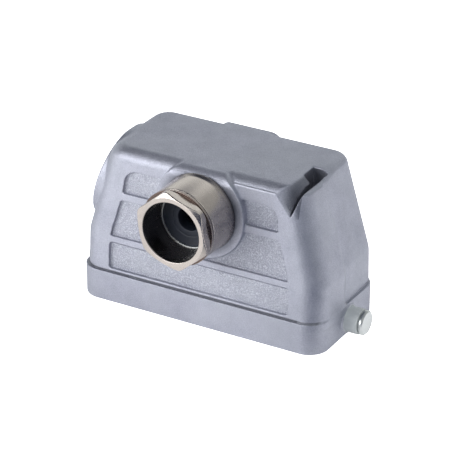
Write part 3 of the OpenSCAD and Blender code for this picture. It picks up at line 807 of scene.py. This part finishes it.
# tapered at the back, with a fine line around its front face
seal = lathe("seal", round_corners(
    [(SEAL_IN_R, SEAL_BACK), (SEAL_BACK_R, SEAL_BACK), (SEAL_R, SEAT_END + 0.15),
     (SEAL_R, SEAL_FRONT), (SEAL_LINE_R + 0.2, SEAL_FRONT),
     (SEAL_LINE_R, SEAL_FRONT - SEAL_LINE_DEPTH), (SEAL_LINE_R - 0.2, SEAL_FRONT),
     (SEAL_IN_R, SEAL_FRONT)],
    [0.3, 0.3, 0.1, 0.15, 0.12, 0.15, 0.12, 0.45]), 128)
dress(seal, "rubber", "hood", "gland_seal")

# the other pieces keep the CAD's own shapes
for subpart in frame["record"]["subparts"]:
    if subpart["node"] not in SHAPED:
        coat(frame["nodes"][subpart["node"]], subpart["material_slot"])


# -------------------------------------------------------- camera and light
def look(name, data, place, target):
    """Adds a camera or a lamp that looks from one place at another."""
    ob = bpy.data.objects.new(name, data)
    bpy.context.scene.collection.objects.link(ob)
    ob.location = place
    ob.rotation_mode = "QUATERNION"
    ob.rotation_quaternion = (Vector(target) - ob.location).to_track_quat("-Z", "Y")
    return ob


# seen from above and from the right, at the photograph's angle
VIEWPOINT, VIEW_CENTRE = (0.3589, -0.6206, 0.3849), (0.00145, -0.000605, 0.02747)
view = bpy.data.cameras.new("camera")
view.lens, view.sensor_width, view.clip_end = 184.36, 36, 20
bpy.context.scene.camera = look("camera", view, VIEWPOINT, VIEW_CENTRE)

# one soft lamp in front on the left
key = bpy.data.lights.new("key", "AREA")
key.shape, key.size, key.size_y = "RECTANGLE", 0.7, 0.5
key.energy = 4.8
look("key", key, (-0.5, -0.85, 0.34), (0, 0, 0.03))

# the dark parts of the room are blue, the bright ones almost white
ROOM_BLUE, ROOM_WHITE = (0.5, 0.72, 1.6), (0.98, 1.015, 1.0)
# darker regions: direction, cosines of the angle where each starts and is full, factor there
DARK_REGIONS = [
    ((-0.40, -0.03, 0.92), 0.6, 0.8, 0.02),     # overhead, a little to the left
    ((0.66, 0.50, 0.56), 0.72, 0.93, 0.42),     # high up, behind on the right
    ((0.42, -0.9, 0.0), 0.78, 0.94, 0.06),      # at the horizon in front
    ((0.97, -0.05, 0.0), 0.7, 0.9, 0.5),        # at the horizon on the right
]


def direct_view(tree):
    """1 for what the camera sees directly or through glass, and the Light Path's outputs."""
    path = node(tree, "ShaderNodeLightPath").outputs
    return largest(tree, path["Is Camera Ray"], path["Is Transmission Ray"]), path


def studio_world():
    """Grey at the horizon and brighter above, with darker regions; white to the camera."""
    world = bpy.data.worlds.new("studio")
    bpy.context.scene.world = world
    world.use_nodes = True
    tree = world.node_tree
    background = tree.nodes["Background"].inputs
    where = node(tree, "ShaderNodeTexCoord").outputs["Generated"]
    height = split(tree, where)[2]
    regions = [remap(tree, dot(tree, where, Vector(direction).normalized()), start, full, 1.0, low)
               for direction, start, full, low in DARK_REGIONS]
    sky = times(tree, remap(tree, height, 0.0, 0.5, 0.74, 1.06), *regions)
    seen, _ = direct_view(tree)
    tree.links.new(largest(tree, sky, times(tree, seen, 1.1)), background["Strength"])
    bright = largest(tree, remap(tree, sky, 0.0, 0.4, 0.0, 1.0), seen)
    tree.links.new(mix(tree, bright, ROOM_BLUE, ROOM_WHITE), background["Color"])


def floor_material():
    """White to the camera; in reflections it glows, apart from the front right corner."""
    m, tree, shader = material("floor", (0.9, 0.9, 0.9), 1.0, specular=0.0)
    x, y, _ = split(tree, object_space(tree))
    seen, path = direct_view(tree)
    in_front = remap(tree, y, -0.04, -0.02, 1.0, 0.0)
    left = times(tree, remap(tree, x, 0.0, 0.03, 0.32, 0.0), in_front)
    right = times(tree, remap(tree, x, 0.045, 0.06, 0.0, 0.5),
                  remap(tree, y, -0.03, 0.0, 0.0, 1.0))
    glow = node(tree, "ShaderNodeEmission")
    tree.links.new(plus(tree, times(tree, seen, 1.3), plus(tree, left, right, 0.28)),
                   glow.inputs["Strength"])
    lit = node(tree, "ShaderNodeAddShader")
    tree.links.new(shader.outputs[0], lit.inputs[0])
    tree.links.new(glow.outputs[0], lit.inputs[1])
    # the dark side of the room, mirrored in the front right corner of the hood
    dim = node(tree, "ShaderNodeEmission", i_Strength=0.1, i_Color=(*ROOM_BLUE, 1))
    corner = times(tree, remap(tree, x, 0.03, 0.055, 0.0, 1.0), in_front)
    mirrored_only = times(tree, corner, math_node(tree, "SUBTRACT", 1.0, seen))
    glowing = mix_shaders(tree, mirrored_only, lit.outputs[0], dim.outputs[0])
    top = mix_shaders(tree, largest(tree, seen, path["Is Glossy Ray"]), shader.outputs[0], glowing)
    # nothing blocks a view from below
    from_below = node(tree, "ShaderNodeNewGeometry").outputs["Backfacing"]
    clear = node(tree, "ShaderNodeBsdfTransparent").outputs[0]
    tree.links.new(mix_shaders(tree, from_below, top, clear),
                   tree.nodes["Material Output"].inputs["Surface"])
    return m


studio_world()
floor = add_mesh("floor", [(-3, -3, 0), (3, -3, 0), (3, 3, 0), (-3, 3, 0)], [(0, 1, 2, 3)], False)
floor.location.z = -0.0002
floor.data.materials.append(floor_material())

bpy.context.scene.view_settings.view_transform = "Standard"
